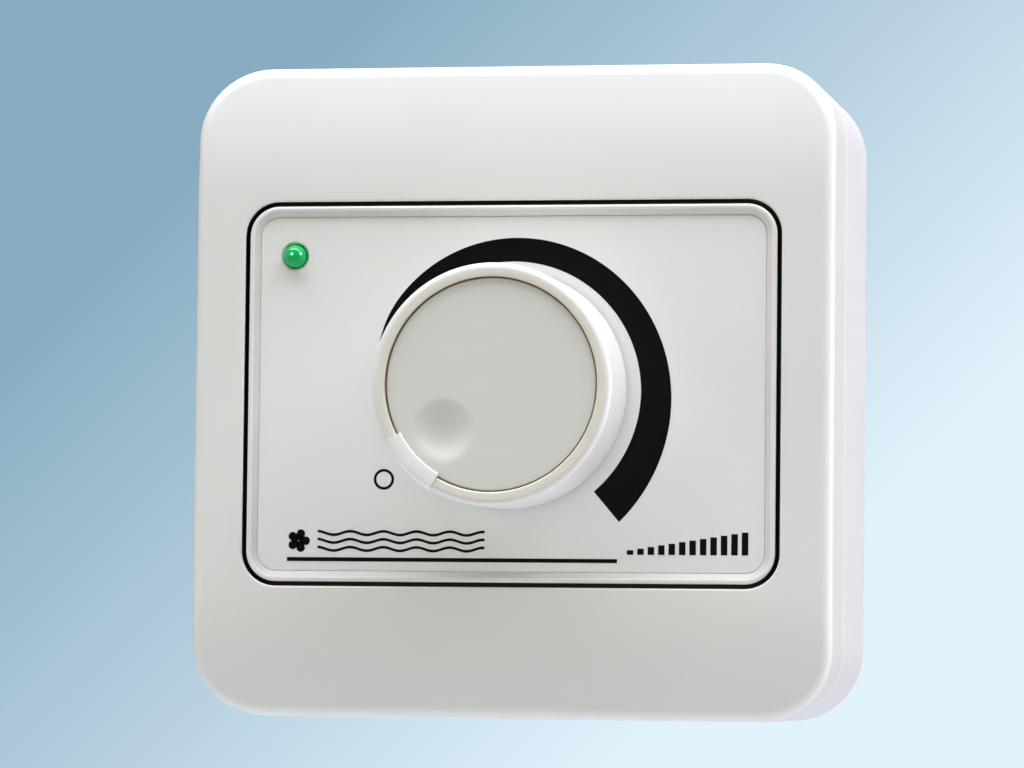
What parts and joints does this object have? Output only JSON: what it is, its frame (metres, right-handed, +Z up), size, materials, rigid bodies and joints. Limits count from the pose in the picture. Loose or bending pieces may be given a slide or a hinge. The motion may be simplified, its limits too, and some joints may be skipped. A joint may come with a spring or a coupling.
{
  "type": "rotary fan speed controller",
  "caption": "Surface-mounted wall box with a soft cover frame, a framed label panel with a lamp, and a large rotary knob that sets a fan's speed.",
  "frame": {"origin": "middle of the wall screw pattern on the flat wall face of the box, level with the knob axis", "axes": "+Z up, +X to the right seen from the front, the front faces -Y and the wall is on the +Y side"},
  "size_m": [0.086, 0.0494, 0.0868],
  "materials": {
    "box_plastic": "satin",
    "frame_plastic": "satin",
    "label_film": "matte",
    "knob_plastic": "satin",
    "cap_plastic": "satin",
    "grommet_rubber": "matte",
    "bright_steel": "satin",
    "plate_steel": "satin",
    "brass": "satin",
    "phenolic": "matte",
    "carbon_track": "matte",
    "tinned_leads": "satin",
    "black_plastic": "matte",
    "ivory_plastic": "satin",
    "board": "satin",
    "pad_rubber": "matte",
    "core_coating": "satin",
    "enamelled_wire": "gloss",
    "capacitor_case": "satin",
    "film_case": "satin",
    "resistor_body": "satin",
    "diac_body": "gloss",
    "fuse_glass": "gloss",
    "terminal_plastic": "satin",
    "trimmer_plastic": "satin",
    "led_lens": "gloss"
  },
  "bodies": {
    "controller": {"surface_box": "box_plastic", "cable_grommet": "grommet_rubber", "outer_frame": "frame_plastic", "front_panel": "frame_plastic", "panel_label": "label_film", "pot_bushing": "brass", "pot_washers": "bright_steel", "pot_nuts": "bright_steel", "pot_housing": "bright_steel", "pot_wafer": "phenolic", "pot_track": "carbon_track", "pot_terminals": "tinned_leads", "switch_housing": "black_plastic", "switch_terminals": "tinned_leads", "support_plate": "plate_steel", "plate_screws": "bright_steel", "circuit_board": "board", "board_spacers": "bright_steel", "board_screws": "bright_steel", "triac_body": "black_plastic", "triac_tab": "tinned_leads", "thermal_pad": "pad_rubber", "triac_screw": "bright_steel", "triac_nut": "bright_steel", "choke_core": "core_coating", "choke_winding": "enamelled_wire", "suppression_capacitor": "capacitor_case", "timing_capacitor": "film_case", "resistors": "resistor_body", "diac": "diac_body", "fuse_glass": "fuse_glass", "fuse_caps": "bright_steel", "fuse_clips": "brass", "terminal_block": "terminal_plastic", "terminal_clamps": "brass", "terminal_screws": "bright_steel", "trimmer_body": "trimmer_plastic", "status_led": "led_lens", "led_leads": "tinned_leads", "led_spacer": "ivory_plastic", "earth_screw": "bright_steel", "earth_clamp": "brass"},
    "knob_group": {"knob_body": "knob_plastic", "knob_cap": "cap_plastic", "knob_index": "knob_plastic", "pot_shaft": "bright_steel", "pot_wiper": "brass"},
    "switch_cam_body": {"switch_cam": "ivory_plastic"},
    "switch_contact_body": {"switch_contact": "brass"},
    "trimmer_body_rotor": {"trimmer_rotor": "ivory_plastic"}
  },
  "joints": [
    {"name": "knob_turn", "type": "hinge", "parent": "controller", "child": "knob_group", "pos_m": [0, -0.034, 0], "axis": [0, 1, 0], "range_deg": [0, 274]},
    {"name": "switch_cam_turn", "type": "hinge", "parent": "controller", "child": "switch_cam_body", "pos_m": [0, -0.0186, 0], "axis": [0, 1, 0], "range_deg": [0, 30]},
    {"name": "switch_contact_tilt", "type": "hinge", "parent": "controller", "child": "switch_contact_body", "pos_m": [-0.0044, -0.0166, 0.0046], "axis": [0, -1, 0], "range_deg": [0, 5]},
    {"name": "minimum_speed_turn", "type": "hinge", "parent": "controller", "child": "trimmer_body_rotor", "pos_m": [0.018, -0.016, -0.011], "axis": [0, 1, 0], "range_deg": [-120, 120]}
  ]
}
